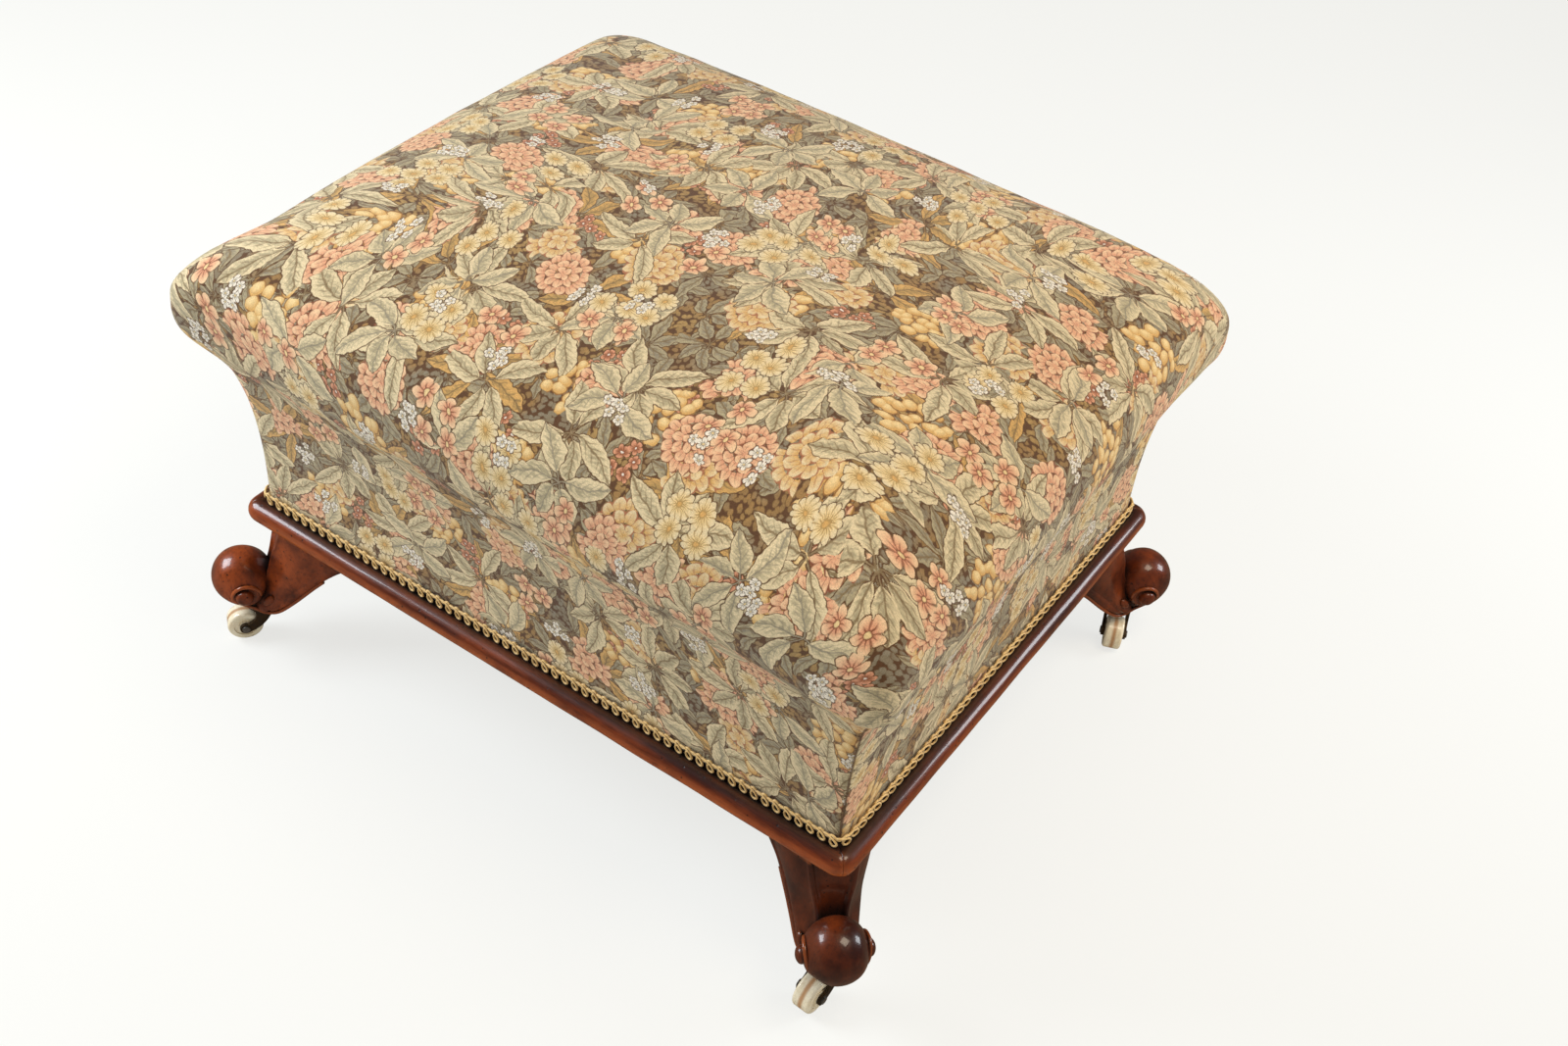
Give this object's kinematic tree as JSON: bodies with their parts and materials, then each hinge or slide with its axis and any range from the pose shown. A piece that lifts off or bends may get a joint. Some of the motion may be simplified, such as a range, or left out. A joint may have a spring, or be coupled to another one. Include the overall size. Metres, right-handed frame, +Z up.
{
  "type": "upholstered footstool",
  "caption": "Deep upholstered footstool with a crowned cushion, drawn-in sides, moulded base frame, carved knurl feet and swivelling castors.",
  "frame": {"origin": "on the floor under the centre of the stool", "axes": "+X along the long side, +Y towards the back, +Z up"},
  "size_m": [0.6622, 0.5502, 0.4321],
  "materials": {
    "mahogany": "French polished, worn on the edges",
    "pine": "planed",
    "beech": "turned",
    "ceramic": "glazed, crazed and stained along the tread",
    "steel_pin": "dull",
    "castor_bronze": "dark, grimed",
    "screw_steel": "dull",
    "jute": "woven",
    "spring_wire": "copper-washed, dull",
    "hessian": "woven",
    "horsehair": "curled",
    "wadding": "felted",
    "tapestry": "woven floral tapestry",
    "gimp": "scrolled braid",
    "calico": "plain weave",
    "tack_iron": "blued"
  },
  "bodies": {
    "root": {"base_corner_blocks": "pine", "base_rail_back": "mahogany", "base_rail_front": "mahogany", "base_rail_left": "mahogany", "base_rail_right": "mahogany", "bottom_cloth": "calico", "bottom_cloth_tacks": "tack_iron", "box_board_back": "pine", "box_board_front": "pine", "box_board_left": "pine", "box_board_right": "pine", "box_corner_posts": "pine", "box_screws": "screw_steel", "castor_plate_back_left": "castor_bronze", "castor_plate_back_right": "castor_bronze", "castor_plate_front_left": "castor_bronze", "castor_plate_front_right": "castor_bronze", "castor_screws": "screw_steel", "cover_wadding": "wadding", "edge_roll": "hessian", "gimp_braid": "gimp", "hair_stuffing": "horsehair", "leg_back_left": "mahogany", "leg_back_right": "mahogany", "leg_dowels": "beech", "leg_front_left": "mahogany", "leg_front_right": "mahogany", "seat_springs": "spring_wire", "spring_canvas": "hessian", "tapestry_cover": "tapestry", "webbing_cross": "jute", "webbing_long": "jute"},
    "horn_front_right": {"castor_horn_front_right": "castor_bronze", "castor_axle_front_right": "steel_pin"},
    "wheel_front_right": {"castor_wheel_front_right": "ceramic"},
    "horn_front_left": {"castor_horn_front_left": "castor_bronze", "castor_axle_front_left": "steel_pin"},
    "wheel_front_left": {"castor_wheel_front_left": "ceramic"},
    "horn_back_right": {"castor_horn_back_right": "castor_bronze", "castor_axle_back_right": "steel_pin"},
    "wheel_back_right": {"castor_wheel_back_right": "ceramic"},
    "horn_back_left": {"castor_horn_back_left": "castor_bronze", "castor_axle_back_left": "steel_pin"},
    "wheel_back_left": {"castor_wheel_back_left": "ceramic"}
  },
  "joints": [
    {"name": "castor_swivel_front_right", "type": "hinge", "parent": "root", "child": "horn_front_right", "pos_m": [0.296, -0.24, 0.036], "axis": [0, 0, 1], "continuous": true},
    {"name": "castor_roll_front_right", "type": "hinge", "parent": "horn_front_right", "child": "wheel_front_right", "pos_m": [0.29506, -0.25798, 0.015], "axis": [0.9986, -0.0523, 0], "continuous": true},
    {"name": "castor_swivel_front_left", "type": "hinge", "parent": "root", "child": "horn_front_left", "pos_m": [-0.296, -0.24, 0.036], "axis": [0, 0, 1], "continuous": true},
    {"name": "castor_roll_front_left", "type": "hinge", "parent": "horn_front_left", "child": "wheel_front_left", "pos_m": [-0.30708, -0.25418, 0.015], "axis": [0.788, -0.6157, 0], "continuous": true},
    {"name": "castor_swivel_back_right", "type": "hinge", "parent": "root", "child": "horn_back_right", "pos_m": [0.296, 0.24, 0.036], "axis": [0, 0, 1], "continuous": true},
    {"name": "castor_roll_back_right", "type": "hinge", "parent": "horn_back_right", "child": "wheel_back_right", "pos_m": [0.30274, 0.22331, 0.015], "axis": [0.9272, 0.3746, 0], "continuous": true},
    {"name": "castor_swivel_back_left", "type": "hinge", "parent": "root", "child": "horn_back_left", "pos_m": [-0.296, 0.24, 0.036], "axis": [0, 0, 1], "continuous": true},
    {"name": "castor_roll_back_left", "type": "hinge", "parent": "horn_back_left", "child": "wheel_back_left", "pos_m": [-0.30066, 0.22261, 0.015], "axis": [0.9659, -0.2588, 0], "continuous": true}
  ]
}
